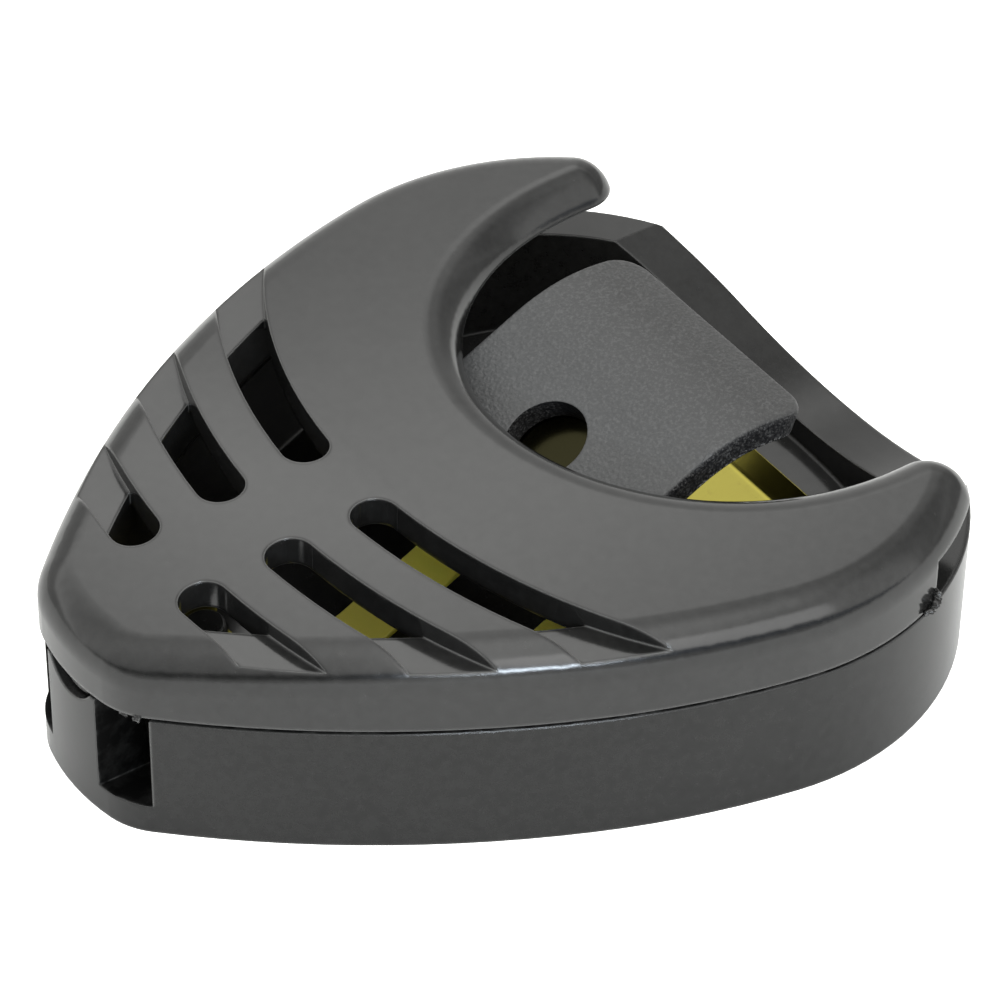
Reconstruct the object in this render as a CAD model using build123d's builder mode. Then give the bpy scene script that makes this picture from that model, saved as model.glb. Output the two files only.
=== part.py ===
from build123d import *
import os
from math import cos, radians, sin, sqrt

# Spring-loaded plectrum holder. Millimetres. +Z up, X across, Y along, narrow tip at -Y.
# The origin is the centre of the flat mounting face.

# ---- plan of the holder: tangent arcs (radius, turn in degrees) from the tip round one side ----
plan_arcs = [(11.8, 12.8), (3.9, 33.4), (58.0, 19.8), (44.0, 12.8), (13.65, 91.5)]
rear_turn = 180 - sum(turn for radius, turn in plan_arcs)

# ---- heights ----
pad_thickness = 0.6
floor_thickness = 0.8
floor_top = pad_thickness + floor_thickness
seam_height = 6.9
crown_height = 11.4
plate_thickness = 1.5
slot_floor_height = 10.15

# ---- walls and gaps ----
wall = 2.7
tray_wall_top = 2.25
tray_wall_foot = 2.75
floor_round = 0.2
pad_inset = 1.5
seam_groove = 0.12
static_gap = 0.08
lip_outer = 1.7
lip_height = 0.7
lip_setback = 0.5

# ---- dome of the cover: one arc across, a second arc down to the tip ----
cross_radius = 290.0
nose_radius = 106.0
nose_start = -5.5
nose_sweep = 14.0

# ---- crescent opening and the two horns beside it ----
crescent_centre = 14.9
crescent_half_width = 12.1
crescent_half_length = 13.1
horn_round = 2.0
skirt_end = 13.2
rim_round = 1.95

# ---- curved slots, three on each side ----
slot_centre = 21.2
slot_radii = [28.76, 33.31, 37.86]
slot_width = 2.33
slot_inner_x = 2.95
slot_sweep = 80.0

# ---- thumb scoop in the rear wall ----
scoop_bottom = 2.6
scoop_radius = 19.6
scoop_front = 12.8

# ---- snap tongue at the tip, between two windows ----
window_inner_x = 2.05
window_outer_x = 4.6
window_bottom = 1.6
window_depth = 5.2
dish_depth = 1.0
dish_half_width = 1.75
hook_recess = 0.45
hook_gap = 0.12
hook_rise = 0.4

# ---- pusher and its hinge ----
pusher_half_width = 7.2
pusher_thickness = 1.25
hinge_y = 1.2
hinge_z = 6.5
trunnion_radius = 0.75
trunnion_end_x = 9.6
ramp_slope = 26.0
crest_radius = 9.0
crest_y = 11.2
crest_z = 11.0
pusher_rear = 14.2
pusher_corner_round = 1.6
pusher_edge_round = 0.3
hole_y = 4.05
hole_radius = 2.1
hole_reach = 2.0

# ---- posts and caps that hold the trunnions ----
post_inner_x = 8.6
post_outer_x = 9.9
post_half_length = 1.5
running_gap = 0.05
cap_height = 3.0

# ---- brass leaf spring ----
leaf_thickness = 0.3
rail_inner_x = 7.4
rail_outer_x = 8.4
front_bar_front = -13.2
front_bar_rear = -11.4
front_bar_half_width = 5.6
front_bar_corner_x = 4.6
rail_front = -9.6
rear_plate_front = 6.5
rear_plate_bend = 15.3
rear_lip_end = 16.5
rear_lip_rise = 1.0
tongue_half_width = 1.45
head_half_width = 3.9
head_front = 2.6
head_rear = 7.0
leaf_gap = 0.1
finger_inner_x = 7.2
finger_outer_x = 8.3
finger_foot = 6.3
finger_tip = -0.9
finger_tip_z = 4.95

# ---- heat stakes that hold the leaf ----
stake_places = [(4.2, -12.3), (6.6, 13.6)]
stake_radius = 0.75
stake_head_radius = 1.1
stake_head_height = 0.3
stake_head_taper = 25.0

# ---- helpers for cutting and picking, not sizes of the part ----
big = 60.0
rim_low = 9.5
near = 1.0
overlap = 0.1
tiny = 0.01


def heading_vector(angle):
    return (cos(radians(angle)), sin(radians(angle)))


def closed_plan_arcs():
    """The listed arcs, with the rear arc whose radius brings the half plan back to the centre line."""
    angle = 0.0
    sideways = 0.0
    for radius, turn in plan_arcs:
        sideways += radius * (sin(radians(angle + turn)) - sin(radians(angle)))
        angle += turn
    return plan_arcs + [(sideways / sin(radians(angle)), rear_turn)]


def plan_length():
    angle = 0.0
    total = 0.0
    for radius, turn in closed_plan_arcs():
        total += radius * (cos(radians(angle)) - cos(radians(angle + turn)))
        angle += turn
    return total


length = plan_length()
tip_y = -length / 2


def shield(inset=0.0):
    """Plan of the holder as a face, moved inward by inset."""
    with BuildSketch() as plan:
        with BuildLine():
            point = (0, tip_y + inset)
            angle = 0.0
            for radius, turn in closed_plan_arcs():
                arc = JernArc(point, heading_vector(angle), radius - inset, turn)
                point = arc @ 1
                angle += turn
            mirror(about=Plane.YZ)
        make_face()
    return plan.sketch


def corner_arc_centre():
    """Centre of the last listed arc, which runs past the horn."""
    angle = 0.0
    x = 0.0
    y = tip_y
    for radius, turn in plan_arcs:
        centre = (x - radius * sin(radians(angle)), y + radius * cos(radians(angle)))
        angle += turn
        x = centre[0] + radius * sin(radians(angle))
        y = centre[1] - radius * cos(radians(angle))
    return centre


def dome(drop=0.0):
    """Everything under the crown surface, lowered by drop."""
    top = crown_height - drop
    edge_z = top - (cross_radius - sqrt(cross_radius**2 - (big / 2) ** 2))
    with BuildPart() as body:
        with BuildSketch(Plane.XZ.offset(-nose_start)) as section:
            with BuildLine():
                crown = ThreePointArc((-big / 2, edge_z), (0, top), (big / 2, edge_z))
                Polyline(crown @ 1, (big / 2, -1), (-big / 2, -1), crown @ 0)
            make_face()
        extrude(section.sketch, amount=-big / 2)
        axis = Axis((0, nose_start, top - nose_radius), (1, 0, 0))
        revolve(section.sketch, axis=axis, revolution_arc=nose_sweep)
    return body.part


def on_slot_arc(radius, angle):
    """Point on an arc about the slots' common centre, at an angle from the centre line."""
    return (radius * sin(radians(angle)), slot_centre - radius * cos(radians(angle)))


def slot_face(radius):
    """One curved slot on the +X side: a ring sector with a round inner end, past the rim outside."""
    near = radius - slot_width / 2
    far = radius + slot_width / 2
    near_start = (slot_inner_x, slot_centre - sqrt(near**2 - slot_inner_x**2))
    far_start = (slot_inner_x, slot_centre - sqrt(far**2 - slot_inner_x**2))
    with BuildSketch() as slot:
        with BuildLine():
            ThreePointArc(near_start, on_slot_arc(near, slot_sweep / 2), on_slot_arc(near, slot_sweep))
            Line(on_slot_arc(near, slot_sweep), on_slot_arc(far, slot_sweep))
            ThreePointArc(on_slot_arc(far, slot_sweep), on_slot_arc(far, slot_sweep / 2), far_start)
            Line(far_start, near_start)
        make_face()
        with Locations((slot_inner_x, slot_centre - sqrt(radius**2 - slot_inner_x**2))):
            Circle(slot_width / 2)
    return slot.sketch


# ---- base tray ----
with BuildPart() as tray_hollow:
    with BuildSketch(Plane.XY.offset(floor_top)):
        add(shield(tray_wall_foot))
    with BuildSketch(Plane.XY.offset(seam_height)):
        add(shield(tray_wall_top))
    loft(ruled=True)
    fillet(tray_hollow.faces().sort_by(Axis.Z)[0].edges(), floor_round)

with BuildPart() as base_tray:
    with BuildSketch():
        add(shield())
    extrude(amount=seam_height)
    chamfer(base_tray.faces().sort_by(Axis.Z)[-1].edges(), seam_groove)
    add(tray_hollow.part, mode=Mode.SUBTRACT)
    with BuildSketch():
        add(shield(pad_inset))
    extrude(amount=pad_thickness, mode=Mode.SUBTRACT)
    # locating lip inside the seam, open at the tongue and at the thumb end
    with BuildSketch(Plane.XY.offset(seam_height - seam_groove)):
        add(shield(lip_outer))
        add(shield(tray_wall_top), mode=Mode.SUBTRACT)
        with Locations((0, skirt_end - lip_setback + big / 2)):
            Rectangle(big, big, mode=Mode.SUBTRACT)
        with Locations((0, tip_y)):
            Rectangle(2 * (window_outer_x + lip_setback), 2 * window_depth, mode=Mode.SUBTRACT)
    extrude(amount=lip_height + seam_groove)
    # thumb scoop through the rear wall
    with BuildSketch(Plane.XZ.offset(-scoop_front)):
        with Locations((0, scoop_bottom + scoop_radius)):
            Circle(scoop_radius)
    extrude(amount=-big, mode=Mode.SUBTRACT)
    # windows that free the snap tongue
    window_width = window_outer_x - window_inner_x
    window_middle = (window_outer_x + window_inner_x) / 2
    with BuildSketch(Plane.XY.offset(window_bottom)):
        with Locations((window_middle, tip_y), (-window_middle, tip_y)):
            Rectangle(window_width, 2 * window_depth)
    extrude(amount=big, mode=Mode.SUBTRACT)
    dish_radius = (dish_half_width**2 + dish_depth**2) / (2 * dish_depth)
    dish_centre_z = seam_height - dish_depth + dish_radius
    with BuildSketch(Plane.XZ.offset(-tip_y - window_depth)):
        with Locations((0, dish_centre_z)):
            Circle(dish_radius)
    extrude(amount=window_depth, mode=Mode.SUBTRACT)
    # posts with open bearings for the trunnions
    post_width = post_outer_x - post_inner_x
    post_middle = (post_outer_x + post_inner_x) / 2
    with BuildSketch(Plane.XY.offset(floor_top)):
        with Locations((post_middle, hinge_y), (-post_middle, hinge_y)):
            Rectangle(post_width, 2 * post_half_length)
    extrude(amount=seam_height - floor_top)
    bearing_radius = trunnion_radius + running_gap
    for side_x in (-post_outer_x, post_inner_x):
        with BuildSketch(Plane.YZ.offset(side_x)):
            with Locations((hinge_y, hinge_z)):
                Circle(bearing_radius)
            with Locations((hinge_y, hinge_z + bearing_radius)):
                Rectangle(2 * bearing_radius, 2 * bearing_radius)
        extrude(amount=post_width, mode=Mode.SUBTRACT)
    # heat stakes over the leaf
    for x, y in stake_places:
        with BuildSketch(Plane.XY.offset(floor_top)):
            with Locations((x, y), (-x, y)):
                Circle(stake_radius)
        extrude(amount=leaf_thickness)
        with BuildSketch(Plane.XY.offset(floor_top + leaf_thickness)):
            with Locations((x, y), (-x, y)):
                Circle(stake_head_radius)
        extrude(amount=stake_head_height, taper=stake_head_taper)

# ---- cover ----
# each horn ends in a full round that touches the crescent's side and the outer corner arc
horn_x = crescent_half_width + horn_round
corner_centre = corner_arc_centre()
corner_reach = plan_arcs[-1][0] - horn_round
horn_y = corner_centre[1] + sqrt(corner_reach**2 - (horn_x - corner_centre[0]) ** 2)
far_x = horn_x + big * (horn_x - corner_centre[0]) / corner_reach
far_y = horn_y + big * (horn_y - corner_centre[1]) / corner_reach
with BuildSketch() as cover_plan:
    add(shield())
    with Locations((0, crescent_centre)):
        Ellipse(crescent_half_width, crescent_half_length, mode=Mode.SUBTRACT)
    with Locations((0, crescent_centre + big / 2)):
        Rectangle(2 * crescent_half_width, big, mode=Mode.SUBTRACT)
    with BuildLine():
        Polyline((horn_x, horn_y), (far_x, far_y), (-far_x, far_y), (-horn_x, horn_y), close=True)
    make_face(mode=Mode.SUBTRACT)
    with Locations((horn_x, horn_y), (-horn_x, horn_y)):
        Circle(horn_round)

# the hollow: inside the skirt up to the plate, and everything under the plate past the skirt's end
with BuildPart() as hollow:
    with BuildSketch():
        add(shield(wall))
    extrude(amount=big)
    with BuildSketch():
        with Locations((0, skirt_end + big / 2)):
            Rectangle(big, big)
    extrude(amount=big)
    add(dome(plate_thickness), mode=Mode.INTERSECT)

# the six slots, each cut deep inside the skirt and only to the groove floor over it
with BuildSketch() as slots:
    for radius in slot_radii:
        add(slot_face(radius))
    mirror(about=Plane.YZ)
with BuildPart() as slot_cutter:
    with BuildSketch(Plane.XY.offset(slot_floor_height)):
        add(slots.sketch)
    extrude(amount=big)
    with BuildSketch(Plane.XY.offset(seam_height)):
        add(slots.sketch)
        add(shield(wall), mode=Mode.INTERSECT)
    extrude(amount=big)

with BuildPart() as cover:
    with BuildSketch(Plane.XY.offset(seam_height)):
        add(cover_plan.sketch)
    extrude(amount=big / 2)
    add(dome(), mode=Mode.INTERSECT)
    # the rim is one smooth chain round the shield, the horns and the crescent
    rim = cover.edges().filter_by(lambda e: e.center().Z > rim_low)
    fillet([e for e in rim if abs(e.center().X) > near or abs(e.center().Y - nose_start) > near], rim_round)
    add(hollow.part, mode=Mode.SUBTRACT)
    # seam groove, and the rebate over the tray's locating lip
    with BuildSketch(Plane.XY.offset(seam_height)):
        add(shield(-1))
        add(shield(seam_groove), mode=Mode.SUBTRACT)
    extrude(amount=seam_groove, mode=Mode.SUBTRACT)
    with BuildSketch(Plane.XY.offset(seam_height)):
        add(shield(lip_outer - static_gap))
    extrude(amount=lip_height + static_gap, mode=Mode.SUBTRACT)
    add(slot_cutter.part, mode=Mode.SUBTRACT)
    # hook behind the snap tongue, filling the dish in its top edge
    with BuildSketch(Plane.XZ.offset(-tip_y - hook_recess)):
        with Locations((0, dish_centre_z)):
            Circle(dish_radius - hook_gap)
        with Locations((0, seam_height + big / 2 + hook_rise)):
            Rectangle(big, big, mode=Mode.SUBTRACT)
    extrude(amount=-wall)
    # caps that close the trunnion bearings
    with BuildSketch(Plane.XY.offset(hinge_z + trunnion_radius + running_gap)):
        with Locations((post_middle, hinge_y), (-post_middle, hinge_y)):
            Rectangle(post_width, 2 * post_half_length)
    extrude(amount=cap_height)

# ---- thumb pusher ----
crest_centre = (crest_y, crest_z - crest_radius)
slope = radians(ramp_slope)
inner_radius = crest_radius - pusher_thickness
along = (cos(slope), sin(slope))
out = (-sin(slope), cos(slope))


def on_arc(radius, y=None):
    """Point on an arc about the crest centre, at the end of the ramp or at a given y."""
    if y is None:
        return (crest_centre[0] + radius * out[0], crest_centre[1] + radius * out[1])
    return (y, crest_centre[1] + sqrt(radius**2 - (y - crest_centre[0]) ** 2))


ramp_top_end = on_arc(crest_radius)
ramp_length = (ramp_top_end[0] - hinge_y) / cos(slope)
ramp_top_start = (ramp_top_end[0] - ramp_length * along[0], ramp_top_end[1] - ramp_length * along[1])
rear_top = on_arc(crest_radius, pusher_rear)
rear_ratio = inner_radius / crest_radius
rear_bottom = (
    crest_centre[0] + (rear_top[0] - crest_centre[0]) * rear_ratio,
    crest_centre[1] + (rear_top[1] - crest_centre[1]) * rear_ratio,
)
ramp_bottom_end = on_arc(inner_radius)
ramp_bottom_start = (
    ramp_bottom_end[0] - ramp_length * along[0],
    ramp_bottom_end[1] - ramp_length * along[1],
)
barrel_radius = (ramp_top_start[1] - hinge_z) * cos(slope)

with BuildPart() as thumb_pusher:
    with BuildSketch(Plane.YZ):
        with BuildLine():
            Line(ramp_top_start, ramp_top_end)
            ThreePointArc(ramp_top_end, (crest_y, crest_z), rear_top)
            Line(rear_top, rear_bottom)
            ThreePointArc(rear_bottom, (crest_y, crest_z - pusher_thickness), ramp_bottom_end)
            Line(ramp_bottom_end, ramp_bottom_start)
            Line(ramp_bottom_start, ramp_top_start)
        make_face()
    extrude(amount=pusher_half_width, both=True)
    rear_corners = thumb_pusher.edges().filter_by(
        lambda e: abs(e.center().X) > pusher_half_width - tiny
        and e.center().Y > rear_bottom[0] - tiny
        and e.length < pusher_thickness + tiny
    )
    fillet(rear_corners, pusher_corner_round)
    upper = thumb_pusher.faces().filter_by(lambda f: f.normal_at().Z > 0.5)
    arch_edges = upper.sort_by(Axis.Y)[-1].edges()
    fillet(arch_edges.filter_by(lambda e: abs(e.center().X) > tiny), pusher_edge_round)
    hole_z = ramp_top_start[1] + (hole_y - ramp_top_start[0]) * sin(slope) / cos(slope)
    with BuildSketch(Plane((0, hole_y, hole_z), x_dir=(1, 0, 0), z_dir=(0, out[0], out[1]))):
        Circle(hole_radius)
    extrude(amount=hole_reach, both=True, mode=Mode.SUBTRACT)
    with BuildSketch(Plane.YZ.offset(-pusher_half_width)):
        with Locations((hinge_y, hinge_z)):
            Circle(barrel_radius)
    extrude(amount=2 * pusher_half_width)
    for side_x in (-trunnion_end_x, pusher_half_width):
        with BuildSketch(Plane.YZ.offset(side_x)):
            with Locations((hinge_y, hinge_z)):
                Circle(trunnion_radius)
        extrude(amount=trunnion_end_x - pusher_half_width)

# ---- brass leaf spring: its bent parts as strips, then the flat frame ----
leaf_top = floor_top + leaf_thickness
tongue_line_z = ramp_bottom_start[1] - leaf_gap / cos(slope)


def tongue_z(y):
    """Top of the tongue: one straight slope that lies along the pusher's underside."""
    return tongue_line_z + (y - ramp_bottom_start[0]) * sin(slope) / cos(slope)


def strip(points, inner_x, outer_x):
    """A bent strip of leaf between two X positions, from its top line in the YZ plane."""
    with BuildPart() as piece:
        with BuildSketch(Plane.YZ.offset(inner_x)):
            with BuildLine():
                Polyline(*points)
                Polyline(
                    points[-1],
                    (points[-1][0], points[-1][1] - leaf_thickness),
                    *[(y, z - leaf_thickness) for y, z in reversed(points[:-1])],
                    points[0],
                )
            make_face()
        extrude(amount=outer_x - inner_x)
    return piece.part


foot_y = ramp_bottom_start[0] - (tongue_line_z - leaf_top) * cos(slope) / sin(slope)
tongue_points = [
    (front_bar_rear - overlap, leaf_top),
    (foot_y, leaf_top),
    (head_rear, tongue_z(head_rear)),
]
head_points = [(head_front, tongue_z(head_front)), (head_rear, tongue_z(head_rear))]
finger_points = [(rear_plate_front + overlap, leaf_top), (finger_foot, leaf_top), (finger_tip, finger_tip_z)]
lip_points = [
    (rear_plate_bend - overlap, leaf_top),
    (rear_plate_bend, leaf_top),
    (rear_lip_end, leaf_top + rear_lip_rise),
]

with BuildPart() as leaf_spring:
    with BuildSketch(Plane.XY.offset(floor_top)):
        with Locations((0, (rear_plate_front + rear_plate_bend) / 2)):
            Rectangle(2 * rail_outer_x, rear_plate_bend - rear_plate_front)
        with Locations((0, (front_bar_front + front_bar_rear) / 2)):
            Rectangle(2 * front_bar_half_width, front_bar_rear - front_bar_front)
        with BuildLine():
            Polyline(
                (rail_inner_x, rear_plate_front),
                (rail_inner_x, rail_front),
                (front_bar_corner_x, front_bar_rear),
                (front_bar_half_width, front_bar_front),
                (rail_outer_x, rail_front),
                (rail_outer_x, rear_plate_front),
                close=True,
            )
        make_face()
        mirror(about=Plane.YZ)
        for x, y in stake_places:
            with Locations((x, y), (-x, y)):
                Circle(stake_radius + static_gap, mode=Mode.SUBTRACT)
    extrude(amount=leaf_thickness)
    add(strip(tongue_points, -tongue_half_width, tongue_half_width))
    add(strip(head_points, -head_half_width, head_half_width))
    add(strip(finger_points, finger_inner_x, finger_outer_x))
    add(strip(finger_points, -finger_outer_x, -finger_inner_x))
    add(strip(lip_points, -rail_outer_x, rail_outer_x))

# ---- adhesive pad ----
with BuildPart() as adhesive_pad:
    with BuildSketch():
        add(shield(pad_inset + static_gap))
    extrude(amount=pad_thickness)

# ---- write the pieces ----
os.makedirs("parts", exist_ok=True)
pieces = {
    "base_tray": base_tray,
    "cover": cover,
    "thumb_pusher": thumb_pusher,
    "leaf_spring": leaf_spring,
    "adhesive_pad": adhesive_pad,
}
for name, built in pieces.items():
    built.part.label = name
    export_step(built.part, f"parts/{name}.step")
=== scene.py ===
from math import cos, hypot, pi, radians, sin, tan

import bmesh
import bpy
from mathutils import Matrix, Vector, noise


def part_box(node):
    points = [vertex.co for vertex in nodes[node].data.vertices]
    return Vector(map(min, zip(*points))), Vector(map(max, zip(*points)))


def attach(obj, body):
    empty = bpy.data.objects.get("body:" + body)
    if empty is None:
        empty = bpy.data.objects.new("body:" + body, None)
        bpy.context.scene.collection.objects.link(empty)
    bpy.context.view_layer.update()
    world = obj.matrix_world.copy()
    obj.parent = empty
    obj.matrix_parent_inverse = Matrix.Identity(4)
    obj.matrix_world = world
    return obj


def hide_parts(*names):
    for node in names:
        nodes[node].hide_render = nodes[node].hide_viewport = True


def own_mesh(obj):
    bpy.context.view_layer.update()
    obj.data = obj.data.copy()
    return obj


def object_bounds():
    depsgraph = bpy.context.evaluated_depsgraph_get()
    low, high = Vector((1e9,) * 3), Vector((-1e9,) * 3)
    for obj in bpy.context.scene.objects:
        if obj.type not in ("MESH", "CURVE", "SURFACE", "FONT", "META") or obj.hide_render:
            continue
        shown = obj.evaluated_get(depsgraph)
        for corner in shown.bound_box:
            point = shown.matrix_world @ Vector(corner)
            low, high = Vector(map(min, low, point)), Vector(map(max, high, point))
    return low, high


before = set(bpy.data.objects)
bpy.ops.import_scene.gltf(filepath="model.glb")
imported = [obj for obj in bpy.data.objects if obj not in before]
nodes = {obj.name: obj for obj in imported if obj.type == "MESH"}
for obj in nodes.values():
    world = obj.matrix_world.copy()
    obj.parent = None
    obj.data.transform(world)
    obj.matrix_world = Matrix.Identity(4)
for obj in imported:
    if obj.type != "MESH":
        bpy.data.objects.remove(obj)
cad_box = [list(corner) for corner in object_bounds()]
scene = bpy.context.scene
MM = 0.001
BEVEL_SAMPLES = 6
# socket numbers of the Mix node in colour mode: factor, A and B, and the result
COLOUR_MIX_INPUTS = (0, 6, 7)
COLOUR_MIX_OUTPUT = 2


# ---------------------------------------------------------------- node helpers
class Nodes:
    """Short calls for building one material's node tree."""

    def __init__(self, name):
        self.material = bpy.data.materials.new(name)
        self.material.use_nodes = True
        self.tree = self.material.node_tree
        self.tree.nodes.clear()
        self.output = self.tree.nodes.new("ShaderNodeOutputMaterial")
        self.bsdf = self.tree.nodes.new("ShaderNodeBsdfPrincipled")
        self.link(self.bsdf.outputs["BSDF"], self.output.inputs["Surface"])
        self.place = self.tree.nodes.new("ShaderNodeTexCoord").outputs["Object"]

    def link(self, source, target):
        self.tree.links.new(source, target)

    def put(self, socket, value):
        """Link an output to the socket, or set its plain value."""
        if isinstance(value, bpy.types.NodeSocket):
            self.link(value, socket)
        else:
            socket.default_value = value

    def set(self, **values):
        """Set inputs of the Principled shader by name, with _ for a space."""
        for key, value in values.items():
            self.put(self.bsdf.inputs[key.replace("_", " ")], value)

    def node(self, kind, **values):
        made = self.tree.nodes.new(kind)
        for key, value in values.items():
            setattr(made, key, value)
        return made

    def stretch(self, scale=(1, 1, 1), turn=(0, 0, 0)):
        mapping = self.node("ShaderNodeMapping")
        self.link(self.place, mapping.inputs["Vector"])
        mapping.inputs["Scale"].default_value = scale
        mapping.inputs["Rotation"].default_value = turn
        return mapping.outputs["Vector"]

    def noise(self, size_mm, detail=3.0, rough=0.5, vector=None):
        """Fractal noise between 0 and 1; its largest features are about size_mm wide."""
        made = self.node("ShaderNodeTexNoise")
        self.link(vector or self.place, made.inputs["Vector"])
        made.inputs["Scale"].default_value = 1 / (size_mm * MM)
        made.inputs["Detail"].default_value = detail
        made.inputs["Roughness"].default_value = rough
        return made.outputs["Fac"]

    def cells(self, size_mm):
        """Distance from the middle of random cells about size_mm wide."""
        made = self.node("ShaderNodeTexVoronoi")
        self.link(self.place, made.inputs["Vector"])
        made.inputs["Scale"].default_value = 1 / (size_mm * MM)
        return made.outputs["Distance"]

    def ramp(self, source, stops):
        """A colour ramp from stops of (position, level or colour)."""
        made = self.node("ShaderNodeValToRGB")
        self.link(source, made.inputs["Fac"])
        ramp = made.color_ramp
        while len(ramp.elements) < len(stops):
            ramp.elements.new(0.5)
        for element, (place, value) in zip(ramp.elements, stops):
            element.position = place
            if isinstance(value, (int, float)):
                value = (value, value, value)
            element.color = (*value, 1)
        return made.outputs["Color"]

    def math(self, operation, a, b=0.0, c=0.0):
        made = self.node("ShaderNodeMath", operation=operation)
        for socket, value in zip(made.inputs, (a, b, c)):
            self.put(socket, value)
        return made.outputs["Value"]

    def mix(self, factor, a, b):
        made = self.node("ShaderNodeMix", data_type="RGBA")
        for key, value in zip(COLOUR_MIX_INPUTS, (factor, a, b)):
            if isinstance(value, tuple):
                value = (*value, 1) if len(value) == 3 else value
            self.put(made.inputs[key], value)
        return made.outputs[COLOUR_MIX_OUTPUT]

    def bump(self, height, distance_mm, strength=1.0, under=None):
        made = self.node("ShaderNodeBump")
        self.link(height, made.inputs["Height"])
        made.inputs["Distance"].default_value = distance_mm * MM
        self.put(made.inputs["Strength"], strength)
        if under is not None:
            self.link(under, made.inputs["Normal"])
        return made.outputs["Normal"]

    def soft_edge(self, radius_mm):
        """A normal that rounds sharp edges off."""
        bevel = self.node("ShaderNodeBevel", samples=BEVEL_SAMPLES)
        bevel.inputs["Radius"].default_value = radius_mm * MM
        return bevel.outputs["Normal"]

    def edges(self, radius_mm):
        """Above 0 near sharp edges and 0 on flat areas."""
        geometry = self.node("ShaderNodeNewGeometry")
        dot = self.node("ShaderNodeVectorMath", operation="DOT_PRODUCT")
        self.link(self.soft_edge(radius_mm), dot.inputs[0])
        self.link(geometry.outputs["Normal"], dot.inputs[1])
        return self.math("SUBTRACT", 1.0, dot.outputs["Value"])

    def inside_box(self, low_mm, high_mm):
        """1 inside a box in the object's frame, else 0."""
        split = self.node("ShaderNodeSeparateXYZ")
        self.link(self.place, split.inputs["Vector"])
        result = 1.0
        for axis, low, high in zip("XYZ", low_mm, high_mm):
            above = self.math("GREATER_THAN", split.outputs[axis], low * MM)
            below = self.math("LESS_THAN", split.outputs[axis], high * MM)
            result = self.math("MULTIPLY", result, self.math("MULTIPLY", above, below))
        return result

    def inside_any(self, boxes):
        """1 inside at least one of the boxes, else 0."""
        result = 0.0
        for low, high in boxes:
            result = self.math("MAXIMUM", result, self.inside_box(low, high))
        return result


def grey(level):
    return (level, level, level)


DUST = grey(0.12)
# the colour that edges are painted towards: rubbed wear and painted highlight
SCUFF_AND_SHEEN = (0.2, 0.2, 0.195)
# painted shade: nearly black, with a lower index so that it reflects less
PAINTED_SHADE = grey(0.002)
PAINTED_SHADE_INDEX = 1.12


def moulded_black(name, tint, roughness, edge_mm=0.2, rough_spot=None, index=1.5, shade_boxes=()):
    """Moulded glossy black plastic: faint flow marks, orange peel, fine scuffs and dust.

    The box rough_spot is coarse and unpolished. The shade boxes, on the seam and in recesses, get
    painted shade: nearly black in patches, rougher and less reflective. Boxes are (low corner, high
    corner) in mm.
    """
    flow_mm, mottle_mm, peel_mm, grain_mm, speck_mm = 7.0, 0.55, 2.2, 0.3, 0.14
    n = Nodes(name)
    cloud = n.noise(flow_mm, 4, 0.55)
    scuff_a = n.noise(0.22, 2, 0.5, n.stretch((1, 0.05, 0.4), (0, 0, 0.6)))
    scuff_b = n.noise(0.25, 2, 0.5, n.stretch((0.05, 1, 0.4), (0, 0, 0.3)))
    scuff_a = n.ramp(scuff_a, [(0.69, 0.0), (0.76, 1.0)])
    scuff_b = n.ramp(scuff_b, [(0.7, 0.0), (0.78, 1.0)])
    lines = n.math("MAXIMUM", scuff_a, scuff_b)
    specks = n.ramp(n.noise(speck_mm, 2, 0.5), [(0.72, 0.0), (0.78, 1.0)])
    edge_wear_and_sheen = n.ramp(n.edges(0.18), [(0.06, 0.0), (0.35, 1.0)])
    mottle = n.ramp(n.noise(mottle_mm, 4, 0.7), [(0.35, 0.0), (0.7, 1.0)])

    dark, light, bloom = (tuple(c * share for c in tint) for share in (0.5, 1.35, 2.3))
    colour = n.mix(n.math("MULTIPLY", mottle, 0.5), n.mix(cloud, dark, light), bloom)
    colour = n.mix(n.math("MULTIPLY", specks, 0.12), colour, DUST)
    # the edges are painted lighter, partly as rubbed wear and partly as a painted highlight
    colour = n.mix(n.math("MULTIPLY", edge_wear_and_sheen, 0.7), colour, SCUFF_AND_SHEEN)
    rough = n.math("MULTIPLY_ADD", n.math("SUBTRACT", cloud, 0.5), 0.1, roughness)
    rough = n.math("MULTIPLY_ADD", lines, 0.03, rough)
    rough = n.math("MULTIPLY_ADD", specks, 0.1, rough)
    peel = n.noise(peel_mm, 3, 0.5)
    height = n.math("MULTIPLY_ADD", n.noise(grain_mm, 3, 0.6), 0.2, peel)
    height = n.math("MULTIPLY_ADD", lines, -0.04, height)
    normal = n.bump(height, 0.01, 0.6, n.soft_edge(edge_mm))

    if rough_spot:
        inside = n.inside_box(*rough_spot)
        coarse = n.noise(0.28, 4, 0.7)
        colour = n.mix(inside, colour, n.mix(coarse, grey(0.02), (0.3, 0.3, 0.29)))
        rough = n.math("MULTIPLY_ADD", inside, 0.35, rough)
        normal = n.bump(coarse, 0.25, inside, normal)
    # painted shade in the boxes: patches painted nearly black, rougher and less reflective
    if shade_boxes:
        shade = n.inside_any(shade_boxes)
        patchy = n.ramp(n.noise(0.9, 3, 0.6), [(0.3, 0.5), (0.55, 1.0)])
        shade = n.math("MULTIPLY", shade, patchy)
        colour = n.mix(shade, colour, PAINTED_SHADE)
        rough = n.math("MULTIPLY_ADD", shade, 0.3, rough)
        index = n.math("MULTIPLY_ADD", shade, PAINTED_SHADE_INDEX - index, index)
    n.set(Base_Color=colour, IOR=index, Roughness=rough, Normal=normal)
    return n.material


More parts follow.
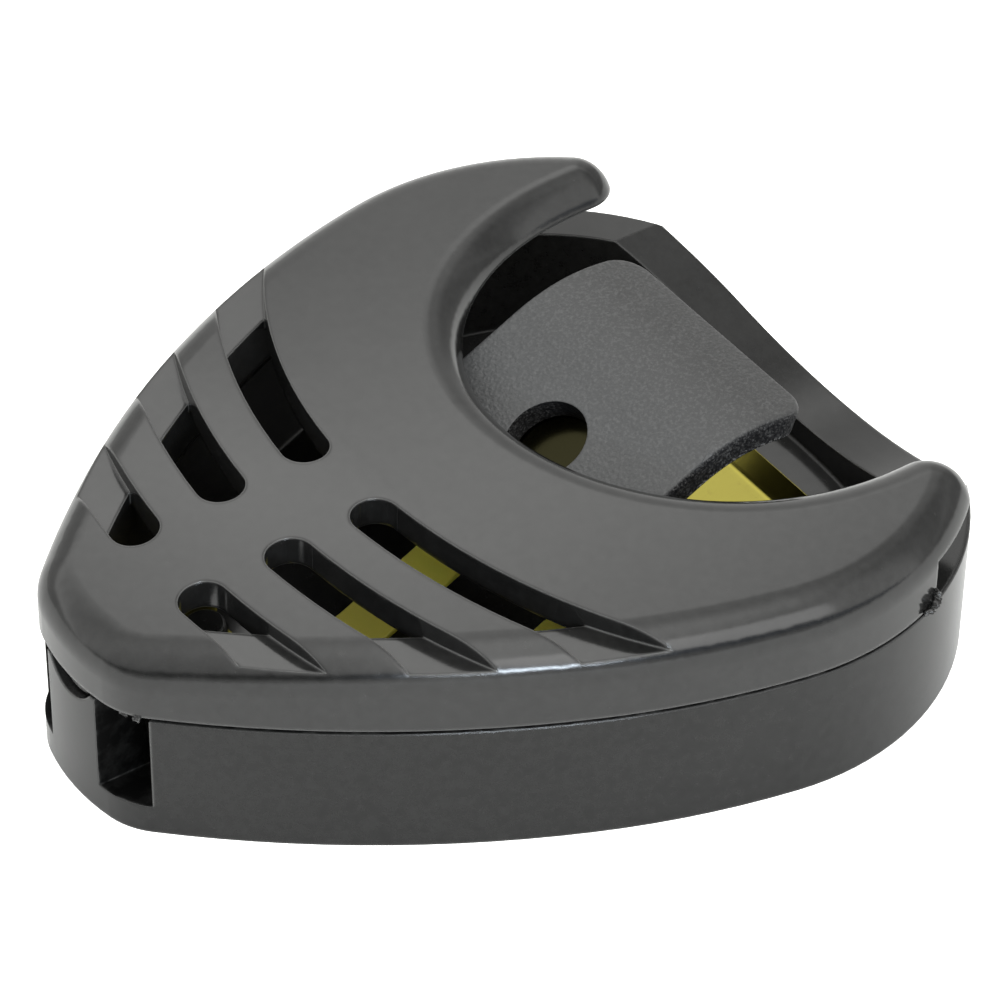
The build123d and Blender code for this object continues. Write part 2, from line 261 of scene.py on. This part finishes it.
# the pusher's round hole, and the middle of its plate between the two long edges, in mm
PUSHER_HOLE = ((-2.15, 1.5, 5.0), (2.15, 6.6, 11.0))
PUSHER_MIDDLE = ((-5.5, -5, 0), (5.5, 20, 20))
# the direction square to the pusher's ramp, as its Y and Z parts
RAMP_UP_Y, RAMP_UP_Z = -0.44, 0.9
# along Y, in metres, the ramp ends and the flat crest starts
CREST_START, CREST_FULL = 0.006, 0.0105


def spark_texture(name):
    """Black plastic from a spark-eroded mould: a random grain, with painted glints, painted shade and
    painted light.
    """
    n = Nodes(name)
    cloud = n.noise(3.5, 4, 0.55)
    edge_wear_and_sheen = n.ramp(n.edges(0.4), [(0.02, 0.0), (0.2, 1.0)])
    speck = n.ramp(n.noise(0.17, 3, 0.75), [(0.5, 0.0), (0.6, 1.0)])
    bright = n.ramp(n.noise(0.11, 4, 0.75), [(0.5, 0.0), (0.64, 1.0)])

    # painted shade: the plate's side faces and the wall of its hole are painted much darker than its
    # top, and reflect less
    normal = n.node("ShaderNodeSeparateXYZ")
    geometry = n.node("ShaderNodeNewGeometry")
    n.link(geometry.outputs["True Normal"], normal.inputs["Vector"])
    flank = n.ramp(n.math("ABSOLUTE", normal.outputs["X"]), [(0.5, 0.0), (0.8, 1.0)])
    along_y = n.math("MULTIPLY", normal.outputs["Y"], RAMP_UP_Y)
    facing_up = n.math("MULTIPLY_ADD", normal.outputs["Z"], RAMP_UP_Z, along_y)
    steep = n.math("LESS_THAN", n.math("ABSOLUTE", facing_up), 0.6)
    bore = n.math("MULTIPLY", n.inside_box(*PUSHER_HOLE), steep)
    dark = n.math("MAXIMUM", flank, bore)

    place = n.node("ShaderNodeSeparateXYZ")
    n.link(n.place, place.inputs["Vector"])
    # painted light and shade: the ramp is painted lighter than the flat crest, as light falls on them
    crest = n.ramp(place.outputs["Y"], [(CREST_START, 0.0), (CREST_FULL, 1.0)])
    ramp_painted_light = n.mix(cloud, (0.046, 0.0475, 0.0485), (0.059, 0.0605, 0.0615))
    crest_painted_shade = n.mix(cloud, (0.019, 0.0191, 0.0192), (0.027, 0.0271, 0.0272))
    colour = n.mix(crest, ramp_painted_light, crest_painted_shade)
    colour = n.mix(n.math("MULTIPLY", speck, 0.22), colour, grey(0.13))
    colour = n.mix(n.math("MULTIPLY", dark, 0.93), colour, (0.003, 0.003, 0.004))
    # painted glints: light grains painted along the edges at the plate's sides and on its side faces
    at_side = n.math("SUBTRACT", 1.0, n.inside_box(*PUSHER_MIDDLE))
    glint = n.math("MULTIPLY", n.math("MULTIPLY", edge_wear_and_sheen, bright), at_side)
    flank_glint = n.math("MULTIPLY", flank, n.math("MULTIPLY", bright, 0.16))
    glint = n.math("MAXIMUM", glint, flank_glint)
    colour = n.mix(n.math("MULTIPLY", glint, 0.8), colour, (0.5, 0.5, 0.49))
    n.set(Base_Color=colour, IOR=n.math("MULTIPLY_ADD", dark, -0.25, 1.5))

    rough = n.math("MULTIPLY_ADD", glint, -0.2, 0.46)
    n.set(Roughness=n.math("MULTIPLY_ADD", cloud, 0.12, rough))
    fine = n.math("MULTIPLY", n.noise(0.2, 3, 0.65), 0.8)
    pits = n.math("MULTIPLY", n.cells(0.22), 0.5)
    strength = n.math("MULTIPLY_ADD", flank, 0.5, 0.55)
    n.set(Normal=n.bump(n.math("ADD", fine, pits), 0.09, strength, n.soft_edge(0.12)))
    return n.material


# parts of the leaf, in mm: its head below the pusher's hole, which gets painted shade, its tongue, the
# tongue's front half, painted darker as shade, and the turned-down ends of its two fingers
UNDER_HOLE = ((-3.2, 1.6, 4.0), (3.2, 6.9, 10.0))
TONGUE_BOX = ((-1.6, -12.0, 1.0), (1.6, 0.5, 6.0))
TONGUE_FRONT = ((-1.6, -12.0, 1.0), (1.6, -4.6, 6.0))
FINGER_ENDS = [((-8.6, -2.5, 3.5), (-7.0, -0.3, 5.6)), ((7.0, -2.5, 3.5), (8.6, -0.3, 5.6))]


def rolled_brass(name):
    """Cold-rolled brass strip: fine rolling lines, faint tarnish, bright sheared edges."""
    n = Nodes(name)
    rolling = n.noise(0.09, 3, 0.6, n.stretch((1, 0.02, 1)))
    cloud = n.noise(2.2, 4, 0.6)
    spots = n.ramp(n.noise(0.5, 3, 0.6), [(0.62, 0.0), (0.74, 1.0)])
    edge_wear_and_sheen = n.ramp(n.edges(0.08), [(0.08, 0.0), (0.4, 1.0)])
    colour = n.mix(cloud, (0.185, 0.163, 0.032), (0.23, 0.204, 0.041))
    colour = n.mix(n.math("MULTIPLY", spots, 0.25), colour, (0.14, 0.11, 0.028))
    colour = n.mix(n.math("MULTIPLY", edge_wear_and_sheen, 0.6), colour, (0.4, 0.36, 0.12))
    # painted shade: the leaf's head below the pusher's hole is painted nearly black
    painted_shade_under_hole = n.math("MULTIPLY", n.inside_box(*UNDER_HOLE), 0.96)
    colour = n.mix(painted_shade_under_hole, colour, (0.02, 0.019, 0.011))

    # the tongue and the finger ends are matte, so they stay yellow in the shade of the cover; the
    # tongue's front half is painted darker, as painted shade
    matte = n.inside_any([TONGUE_BOX] + FINGER_ENDS)
    matte_tone_and_painted_shade = n.mix(n.inside_box(*TONGUE_FRONT), (1.0, 0.93, 0.12), (0.5, 0.45, 0.05))
    n.set(Base_Color=n.mix(matte, colour, matte_tone_and_painted_shade), Metallic=n.math("SUBTRACT", 1.0, matte))
    rough = n.math("MULTIPLY_ADD", cloud, 0.1, n.math("MULTIPLY_ADD", rolling, 0.08, 0.1))
    n.set(Roughness=n.math("MULTIPLY_ADD", matte, 0.4, rough))
    n.set(Normal=n.bump(rolling, 0.004, 0.5, n.soft_edge(0.05)))
    return n.material


def foam(name):
    """Closed-cell adhesive foam: small cells and a cloudy, slightly yellowed tone."""
    n = Nodes(name)
    cells = n.cells(0.3)
    cloud = n.noise(4.0, 4, 0.6)
    colour = n.mix(cloud, (0.62, 0.61, 0.56), (0.74, 0.73, 0.69))
    colour = n.mix(n.ramp(cells, [(0.1, 1.0), (0.45, 0.0)]), colour, (0.42, 0.41, 0.38))
    n.set(Base_Color=colour, IOR=1.45)
    n.set(Roughness=n.math("MULTIPLY_ADD", cloud, 0.25, 0.55))
    height = n.math("ADD", cells, n.math("MULTIPLY", n.noise(0.12), 0.4))
    n.set(Normal=n.bump(height, 0.06, 0.8))
    return n.material


# the seam between tray and cover, and the two windows at the tray's tip, in mm
SEAM = 6.9
SEAM_END_Y = 13.0
WINDOW_X, WINDOW_HALF = 3.325, 1.285
WINDOWS = [
    ((side * WINDOW_X - WINDOW_HALF, -21.9, 1.58), (side * WINDOW_X + WINDOW_HALF, -15.0, 7.2))
    for side in (-1, 1)
]
HOOK_FACE = ((-2.0, -21.65, 5.0), (2.0, -21.5, 6.95))


def seam_band(below, above):
    """A thin level box round the seam, from the tip to the seam's ends."""
    return ((-30, -30, SEAM - below), (30, SEAM_END_Y, SEAM + above))


# painted shade on the seam between cover and tray, and inside the tray's two windows
cover_plastic = moulded_black(
    "cover_plastic", (0.009, 0.009, 0.0088), 0.14, 0.25, HOOK_FACE, shade_boxes=[seam_band(0.1, 0.08)]
)
tray_plastic = moulded_black(
    "tray_plastic", (0.0085, 0.0085, 0.0083), 0.15, index=1.36,
    shade_boxes=WINDOWS + [seam_band(0.08, 0.1)],
)
pusher_plastic = spark_texture("pusher_plastic")
leaf_brass = rolled_brass("leaf_brass")
pad_foam = foam("pad_foam")


def paint(obj, material):
    obj.data.materials.clear()
    obj.data.materials.append(material)


for node, material in {
    "base_tray": tray_plastic,
    "cover": cover_plastic,
    "thumb_pusher": pusher_plastic,
    "leaf_spring": leaf_brass,
    "adhesive_pad": pad_foam,
}.items():
    paint(nodes[node], material)


# ---------------------------------------------------------------- mesh helpers
def new_object(name, bm, material, body, smooth=True):
    """An object that rides on a body, made from a bmesh, which is freed."""
    bmesh.ops.recalc_face_normals(bm, faces=bm.faces)
    mesh = bpy.data.meshes.new(name)
    bm.to_mesh(mesh)
    bm.free()
    for polygon in mesh.polygons:
        polygon.use_smooth = smooth
    obj = bpy.data.objects.new(name, mesh)
    scene.collection.objects.link(obj)
    obj.data.materials.append(material)
    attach(obj, body)
    return obj


def curve_through(start, corner, end, steps):
    """Points on the curve that leaves start and reaches end along the two lines through corner."""
    for k in range(steps + 1):
        t = k / steps
        yield start * (1 - t) ** 2 + corner * 2 * t * (1 - t) + end * t**2


CURVE_STEPS = 6
# a rounding never takes more than this share of the line next to it
MOST_OF_SIDE = 0.45
TINY = 1e-6


def rounded(points, radius):
    """A closed polygon with its corners rounded."""
    out = []
    for i, point in enumerate(points):
        corner = Vector(point)
        before = Vector(points[i - 1]) - corner
        after = Vector(points[(i + 1) % len(points)]) - corner
        reach = radius / max(tan(before.angle(after) / 2), TINY)
        reach = min(reach, before.length * MOST_OF_SIDE, after.length * MOST_OF_SIDE)
        start = corner + before.normalized() * reach
        end = corner + after.normalized() * reach
        out.extend(curve_through(start, corner, end, CURVE_STEPS))
    return out


def circle(x, y, radius, steps=28):
    angles = [2 * pi * k / steps for k in range(steps)]
    return [Vector((x + radius * cos(a), y + radius * sin(a))) for a in angles]


def punched_sheet(outline, holes, low_mm, high_mm, bevel_mm):
    """A flat sheet with holes, in mm, as a bmesh in metres."""
    curve = bpy.data.curves.new("sheet", "CURVE")
    curve.dimensions = "2D"
    curve.fill_mode = "BOTH"
    curve.extrude = ((high_mm - low_mm) / 2 - bevel_mm) * MM
    curve.bevel_depth = bevel_mm * MM
    curve.bevel_resolution = 2
    curve.offset = -bevel_mm * MM
    for loop in [outline] + holes:
        spline = curve.splines.new("POLY")
        spline.points.add(len(loop) - 1)
        for point, place in zip(spline.points, loop):
            point.co = (place[0] * MM, place[1] * MM, 0, 1)
        spline.use_cyclic_u = True
    holder = bpy.data.objects.new("sheet", curve)
    scene.collection.objects.link(holder)
    graph = bpy.context.evaluated_depsgraph_get()
    mesh = bpy.data.meshes.new_from_object(holder.evaluated_get(graph))
    bm = bmesh.new()
    bm.from_mesh(mesh)
    bmesh.ops.remove_doubles(bm, verts=bm.verts, dist=1e-7)
    bmesh.ops.translate(bm, verts=bm.verts, vec=(0, 0, (low_mm + high_mm) / 2 * MM))
    bpy.data.objects.remove(holder)
    bpy.data.curves.remove(curve)
    bpy.data.meshes.remove(mesh)
    return bm


def bend_rows(path, bend):
    """The path's points, with a short curve in place of each bend."""
    points = [Vector(point) for point in path]
    rows = [points[0]]
    for before, here, after in zip(points, points[1:], points[2:]):
        ends = []
        for other in (before, after):
            step = other - here
            ends.append(here + step * min(bend / max(hypot(step[0], step[1]), TINY), MOST_OF_SIDE))
        rows.extend(curve_through(ends[0], here, ends[1], CURVE_STEPS))
    return rows + [points[-1]]


def close_rings(bm, rings):
    """Faces between rings of vertices."""
    count = len(rings[0])
    for a, b in zip(rings, rings[1:]):
        for k in range(count):
            bm.faces.new((a[k], a[(k + 1) % count], b[(k + 1) % count], b[k]))


def bent_strip(bm, path, thickness, bend=0.5, bevel=0.05):
    """A bent strip of sheet.

    The path is a list of (y, z of the top, half width, x of the middle) in mm.
    """
    rows = bend_rows(path, bend)
    rings = []
    for i, (y, z, half, x) in enumerate(rows):
        ahead = rows[min(i + 1, len(rows) - 1)] - rows[max(i - 1, 0)]
        length = hypot(ahead[0], ahead[1]) or 1
        normal = (-ahead[1] / length, ahead[0] / length)
        profile = [
            (-half, -bevel), (-half + bevel, 0), (half - bevel, 0), (half, -bevel),
            (half, bevel - thickness), (half - bevel, -thickness),
            (bevel - half, -thickness), (-half, bevel - thickness),
        ]
        rings.append([
            bm.verts.new(((x + across) * MM, (y + normal[0] * up) * MM, (z + normal[1] * up) * MM))
            for across, up in profile
        ])
    close_rings(bm, rings)
    bm.faces.new(rings[0])
    bm.faces.new(list(reversed(rings[-1])))


# ---------------------------------------------------------------- brass leaf
# The leaf has a still frame and a springing tongue. Lengths are in mm.
FLOOR = 1.4
LEAF = 0.3
TOP = FLOOR + LEAF
# strips that lie on the sheet start slightly below its top, so that no two faces coincide
SINK = 0.02
leaf_low, leaf_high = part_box("leaf_spring")
RAIL_OUT = leaf_high.x / MM
RAIL_IN = RAIL_OUT - 1.0
BAR_FRONT = leaf_low.y / MM
BAR_FRONT_HALF = 5.6
BAR_SIDE_Y = -9.6
OPENING_FRONT, OPENING_FRONT_HALF = -11.4, 4.6
PLATE_FRONT, PLATE_BEND = 6.5, 15.3
LIP_END = leaf_high.y / MM
STAKES = [(4.2, -12.3), (-4.2, -12.3), (6.6, 13.6), (-6.6, 13.6)]
STAKE_HOLE_RADIUS = 0.83
SHEET_BEVEL = 0.04
outline = rounded(
    [
        (RAIL_OUT, PLATE_BEND), (RAIL_OUT, BAR_SIDE_Y), (BAR_FRONT_HALF, BAR_FRONT),
        (-BAR_FRONT_HALF, BAR_FRONT), (-RAIL_OUT, BAR_SIDE_Y), (-RAIL_OUT, PLATE_BEND),
    ],
    0.25,
)
opening = rounded(
    [
        (RAIL_IN, PLATE_FRONT), (RAIL_IN, BAR_SIDE_Y), (OPENING_FRONT_HALF, OPENING_FRONT),
        (-OPENING_FRONT_HALF, OPENING_FRONT), (-RAIL_IN, BAR_SIDE_Y), (-RAIL_IN, PLATE_FRONT),
    ],
    0.5,
)
stake_holes = [circle(x, y, STAKE_HOLE_RADIUS) for x, y in STAKES]
bm = punched_sheet(outline, [opening] + stake_holes, FLOOR, TOP, SHEET_BEVEL)

# each finger rises from the plate to a crest and turns down at its end: (y, z of the top)
FINGER_X, FINGER_HALF = 7.75, 0.55
FINGER_PATH = [(6.9, TOP - SINK), (6.3, TOP), (-0.6, 4.92), (-2.2, 4.1)]
for side in (-1, 1):
    bent_strip(bm, [(y, z, FINGER_HALF, side * FINGER_X) for y, z in FINGER_PATH], LEAF)

# the plate's rear edge turns up into a lip
LIP_RISE, LIP_BEND = 0.85, 0.3
lip = [
    (PLATE_BEND - 0.5, TOP - 0.015, RAIL_OUT - 0.05, 0),
    (PLATE_BEND, TOP - 0.01, RAIL_OUT - 0.05, 0),
    (LIP_END - 0.2, TOP + LIP_RISE, RAIL_OUT - 0.3, 0),
]
bent_strip(bm, lip, LEAF, LIP_BEND)
leaf_frame = new_object("leaf_frame", bm, leaf_brass, "holder", smooth=False)
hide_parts("leaf_spring")

# the tongue starts level on the front bar, rises as a ramp and widens into a head below the pusher
HEAD_REAR, HEAD_TOP = 7.0, leaf_high.z / MM
SLOPE = tan(radians(26))
FOOT = HEAD_REAR - (HEAD_TOP - TOP) / SLOPE
TONGUE_HALF, HEAD_HALF = 1.45, 3.88
TONGUE_FLAT = [(-11.8, TOP - SINK), (-11.3, TOP), (FOOT, TOP)]
# (y, half width) up the ramp
TONGUE_RAMP = [(1.8, TONGUE_HALF), (2.5, 3.3), (3.0, HEAD_HALF), (6.2, HEAD_HALF), (6.98, 3.1)]
TONGUE_BEND = 0.45
tongue = [(y, z, TONGUE_HALF, 0) for y, z in TONGUE_FLAT]
tongue += [(y, HEAD_TOP - (HEAD_REAR - y) * SLOPE, half, 0) for y, half in TONGUE_RAMP]
bm = bmesh.new()
bent_strip(bm, tongue, LEAF, TONGUE_BEND)
leaf_tongue = new_object("leaf_tongue", bm, leaf_brass, "holder", smooth=False)
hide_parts("leaf_spring")
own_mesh(leaf_tongue)

# ---------------------------------------------------------------- foam pad
# The holder's outline from the tip to the rear, on the +X side: arcs of (radius in mm, turn in
# degrees). A last arc, worked out below, closes it on the middle plane.
PLAN = [(11.8, 12.8), (3.9, 33.4), (58.0, 19.8), (44.0, 12.8), (13.65, 91.5)]


def plan_points(inset, step_deg=1.2):
    """The holder's outline moved inward, as points in mm from the tip round the +X side and back."""
    arcs = list(PLAN)
    angle = x = 0.0
    for radius, turn in arcs:
        x += radius * (sin(radians(angle + turn)) - sin(radians(angle)))
        angle += turn
    arcs.append((x / sin(radians(angle)), 180 - angle))
    half = []
    angle = x = 0.0
    y = cad_box[0][1] / MM
    for radius, turn in arcs:
        cx, cy = x - radius * sin(radians(angle)), y + radius * cos(radians(angle))
        steps = max(3, int(turn / step_deg))
        for k in range(steps):
            a = radians(angle + turn * k / steps)
            half.append((cx + (radius - inset) * sin(a), cy - (radius - inset) * cos(a)))
        angle += turn
        x, y = cx + radius * sin(radians(angle)), cy - radius * cos(radians(angle))
    half.append((0.0, y - inset))
    return half + [(-px, py) for px, py in reversed(half[1:-1])]


PAD_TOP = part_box("adhesive_pad")[1].z / MM
# (height, inset from the holder's outline) in mm: the cut side bulges where the pad is squeezed
PAD_LEVELS = [
    (0.0, 1.72), (0.03, 1.63), (0.15, 1.6), (0.3, 1.585), (0.45, 1.6), (0.57, 1.63), (PAD_TOP, 1.7),
]
# the side is torn slightly: how deep, how often along it and how often up it
TEAR_DEPTH, TEAR_ALONG, TEAR_UP = 0.05, 2.1, 5
HALF_WIDTH = 18
bm = bmesh.new()
rings = []
for level, inset in PAD_LEVELS:
    ring = []
    for px, py in plan_points(inset):
        torn = 0.0
        if 0.0 < level < PAD_TOP:
            torn = TEAR_DEPTH * noise.noise(Vector((px * TEAR_ALONG, py * TEAR_ALONG, level * TEAR_UP)))
        scale = 1 - abs(torn) / HALF_WIDTH
        ring.append(bm.verts.new((px * scale * MM, py * scale * MM, level * MM)))
    rings.append(ring)
close_rings(bm, rings)
bm.faces.new(list(reversed(rings[0])))
bm.faces.new(rings[-1])
foam_pad = new_object("foam_pad", bm, pad_foam, "holder", smooth=False)
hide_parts("adhesive_pad")


# ---------------------------------------------------------------- moulding flash
def nibs(name, places, material, body):
    """Ragged lumps of flash: each place is (x, y, z, size x, size y, size z) in mm."""
    bm = bmesh.new()
    for i, (x, y, z, sx, sy, sz) in enumerate(places):
        made = bmesh.ops.create_icosphere(bm, subdivisions=3, radius=1.0)
        for v in made["verts"]:
            coarse = noise.noise(v.co * 1.7 + Vector((i * 7.3, 0, 0)))
            fine = noise.noise(v.co * 4.1 + Vector((0, i * 3.1, 0)))
            v.co *= 1 + 0.75 * (coarse + 0.5 * fine)
            v.co = Vector((x + v.co.x * sx, y + v.co.y * sy, z + v.co.z * sz)) * MM
    return new_object(name, bm, material, body)


torn_plastic = moulded_black("torn_plastic", grey(0.003), 0.2, 0.02)
# lumps at the seam's rear end on the +X side; the -X side has them too
SEAM_FLASH = [
    (18.12, 12.95, 7.3, 0.28, 0.26, 0.2), (18.25, 12.5, 7.08, 0.26, 0.34, 0.13),
    (18.02, 13.15, 7.62, 0.2, 0.12, 0.18),
]
both_sides = [(side * x, *rest) for x, *rest in SEAM_FLASH for side in (-1, 1)]
nibs("seam_flash", both_sides, torn_plastic, "holder")
WINDOW_FLASH = [
    (2.5, -21.2, 6.86, 0.3, 0.2, 0.16), (3.3, -21.1, 6.84, 0.35, 0.2, 0.13),
    (4.1, -20.9, 6.88, 0.25, 0.2, 0.14),
    (-2.6, -21.2, 6.86, 0.3, 0.2, 0.15), (-3.6, -21.0, 6.85, 0.35, 0.2, 0.13),
]
nibs("window_flash", WINDOW_FLASH, torn_plastic, "holder")

# ---------------------------------------------------------------- camera
AZIMUTH = 56.14
ELEVATION = 41.04
DISTANCE = 221.75 * MM
TARGET = Vector((0, -3.44, 5.06)) * MM
SENSOR_MM = 36
FOCAL_PER_WIDTH = 4.7575
SHIFT_X, SHIFT_Y = 0.0877, 0.0534


def direction(azimuth, elevation):
    """Unit vector towards an azimuth, counted from -Y towards +X, and an elevation."""
    a, e = radians(azimuth), radians(elevation)
    return Vector((sin(a) * cos(e), -cos(a) * cos(e), sin(e)))


back = direction(AZIMUTH, ELEVATION)
camera = bpy.data.objects.new("camera", bpy.data.cameras.new("camera"))
scene.collection.objects.link(camera)
camera.data.sensor_width = SENSOR_MM
camera.data.lens = SENSOR_MM * FOCAL_PER_WIDTH
camera.data.shift_x = SHIFT_X
camera.data.shift_y = SHIFT_Y
camera.data.clip_start = 0.01
camera.data.clip_end = 20
camera.location = TARGET + back * DISTANCE
camera.rotation_euler = back.to_track_quat("Z", "Y").to_euler()
scene.camera = camera

# ---------------------------------------------------------------- floor
# in metres: half the floor's side, and how far it lies below the pad
FLOOR_HALF = 3
FLOOR_DROP = 0.00002
bm = bmesh.new()
for sign_x, sign_y in ((-1, -1), (1, -1), (1, 1), (-1, 1)):
    bm.verts.new((sign_x * FLOOR_HALF, sign_y * FLOOR_HALF, -FLOOR_DROP))
bm.faces.new(bm.verts)
mesh = bpy.data.meshes.new("floor")
bm.to_mesh(mesh)
bm.free()
floor = bpy.data.objects.new("floor", mesh)
scene.collection.objects.link(floor)

# The paper glows for the camera only, which clips it to white. The walls reflect its own tone plus a
# painted glow in front of the object, which rises between two distances in metres from its middle.
FRONT_FROM, FRONT_TO, FRONT_GLOW = 0.004, 0.016, 0.34
CAMERA_GLOW = 0.8
n = Nodes("floor_paper")
n.set(Base_Color=n.mix(n.noise(9.0, 4, 0.6), (0.8, 0.8, 0.79), (0.83, 0.83, 0.82)), Roughness=0.8)
seen = n.node("ShaderNodeLightPath")
towards = n.node("ShaderNodeVectorMath", operation="DOT_PRODUCT")
n.link(n.place, towards.inputs[0])
towards.inputs[1].default_value = direction(AZIMUTH, 0)
front = n.ramp(towards.outputs["Value"], [(FRONT_FROM, 0.0), (FRONT_TO, 1.0)])
front = n.math("MULTIPLY", front, FRONT_GLOW)
glow = n.math("MULTIPLY_ADD", seen.outputs["Is Camera Ray"], CAMERA_GLOW, front)
n.set(Emission_Color=(1.0, 1.0, 0.985, 1.0), Emission_Strength=glow)
n.set(Normal=n.bump(n.noise(0.5, 3, 0.6), 0.02, 0.3))
paint(floor, n.material)

# ---------------------------------------------------------------- light
SKY_LEVEL = 1.75
WARMTH = (1.0, 1.0, 0.98, 1.0)
world = bpy.data.worlds.new("studio")
scene.world = world
world.use_nodes = True
tree = world.node_tree
tree.nodes.clear()
sky_out = tree.nodes.new("ShaderNodeOutputWorld")
sky = tree.nodes.new("ShaderNodeBackground")
tree.links.new(sky.outputs["Background"], sky_out.inputs["Surface"])
coord = tree.nodes.new("ShaderNodeTexCoord")


def sky_put(sockets, values):
    for socket, value in zip(sockets, values):
        if isinstance(value, bpy.types.NodeSocket):
            tree.links.new(value, socket)
        else:
            socket.default_value = value


def sky_math(operation, *values, kind="ShaderNodeMath"):
    made = tree.nodes.new(kind)
    made.operation = operation
    sky_put(made.inputs, values)
    return made.outputs["Value"]


def sky_along(vector):
    """How far the sky's direction points along a vector."""
    return sky_math("DOT_PRODUCT", coord.outputs["Generated"], vector, kind="ShaderNodeVectorMath")


def sky_stops(source, stops):
    """A colour ramp over the sky, its levels halved so that they fit between 0 and 1."""
    made = tree.nodes.new("ShaderNodeValToRGB")
    tree.links.new(source, made.inputs["Fac"])
    while len(made.color_ramp.elements) < len(stops):
        made.color_ramp.elements.new(0.5)
    for element, (place, level) in zip(made.color_ramp.elements, stops):
        colour = grey(level) if isinstance(level, (int, float)) else level
        element.position = place
        element.color = (*(c / 2 for c in colour), 1)
    return made.outputs["Color"]


def sky_mix(blend, factor, a, b):
    made = tree.nodes.new("ShaderNodeMix")
    made.data_type = "RGBA"
    made.blend_type = blend
    sky_put([made.inputs[key] for key in COLOUR_MIX_INPUTS], (factor, a, b))
    return made.outputs[COLOUR_MIX_OUTPUT]


# The sky is a row of long soft boxes across the view. Its level depends on the angle from the
# horizon behind the object (0) over the zenith (0.5) to the camera's horizon (1).
angle = sky_math("ARCTAN2", sky_along((0, 0, 1)), sky_along(-direction(AZIMUTH, 0)))
over = sky_math("DIVIDE", angle, pi)
# It also depends on the place across the view, from the left (0) to the right (1).
aside = sky_math("ADD", sky_along(direction(AZIMUTH + 90, 0)), 0.5)
BLUE_GAP = (0.2, 0.25, 0.36)
LEFT_SKY = [
    (0.0, 0.75), (0.1, 0.7), (0.18, 0.78), (0.235, 1.95), (0.3, 1.5), (0.37, 1.1), (0.45, 1.3),
    (0.55, 1.4), (0.66, 1.2), (0.82, 0.9), (0.865, 0.7), (0.89, 0.02), (0.94, 0.02), (0.967, 0.7),
    (1.0, 0.8),
]
RIGHT_SKY = [
    (0.0, 0.65), (0.1, 0.6), (0.2, 0.7), (0.235, 1.05), (0.3, 0.6), (0.4, 1.1), (0.5, 1.9),
    (0.66, 2.0), (0.76, 2.0), (0.84, 1.7), (0.875, BLUE_GAP), (0.925, BLUE_GAP), (0.96, 0.9),
    (1.0, 0.9),
]
ACROSS = [
    (0.0, 1.2), (0.2, 1.35), (0.4, 1.8), (0.5, 2.0), (0.62, 2.0), (0.7, 1.6), (0.85, 1.5), (1.0, 0.9),
]
# the left sky gives way to the right sky between 0.4 and 0.73 across the view
to_right = tree.nodes.new("ShaderNodeClamp")
tree.links.new(sky_math("MULTIPLY_ADD", aside, 3.0, -1.2), to_right.inputs["Value"])
left, right = sky_stops(over, LEFT_SKY), sky_stops(over, RIGHT_SKY)
toned = sky_mix("MIX", to_right.outputs["Result"], left, right)
toned = sky_mix("MULTIPLY", 1.0, toned, sky_stops(aside, ACROSS))
tree.links.new(sky_mix("MULTIPLY", 1.0, toned, WARMTH), sky.inputs["Color"])
# doubled, because the ramps hold half levels
sky.inputs["Strength"].default_value = 2 * SKY_LEVEL


# from the lamps to the object, in metres
LAMP_DISTANCE = 0.8


def soft_light(name, azimuth, elevation, width, height, power, colour=(1, 1, 1)):
    """A rectangular lamp that faces the object; azimuth and elevation in degrees, size in metres."""
    data = bpy.data.lights.new(name, "AREA")
    data.shape = "RECTANGLE"
    data.size = width
    data.size_y = height
    data.energy = power
    data.color = colour
    light = bpy.data.objects.new(name, data)
    scene.collection.objects.link(light)
    out = direction(azimuth, elevation)
    light.location = TARGET + out * LAMP_DISTANCE
    light.rotation_euler = out.to_track_quat("Z", "Y").to_euler()


soft_light("fill", AZIMUTH + 35, 35, 0.6, 0.4, 1.5)
soft_light("window", AZIMUTH + 14, 17, 0.26, 0.05, 2.4, (0.8, 0.9, 1.0))
scene.view_settings.view_transform = "Standard"
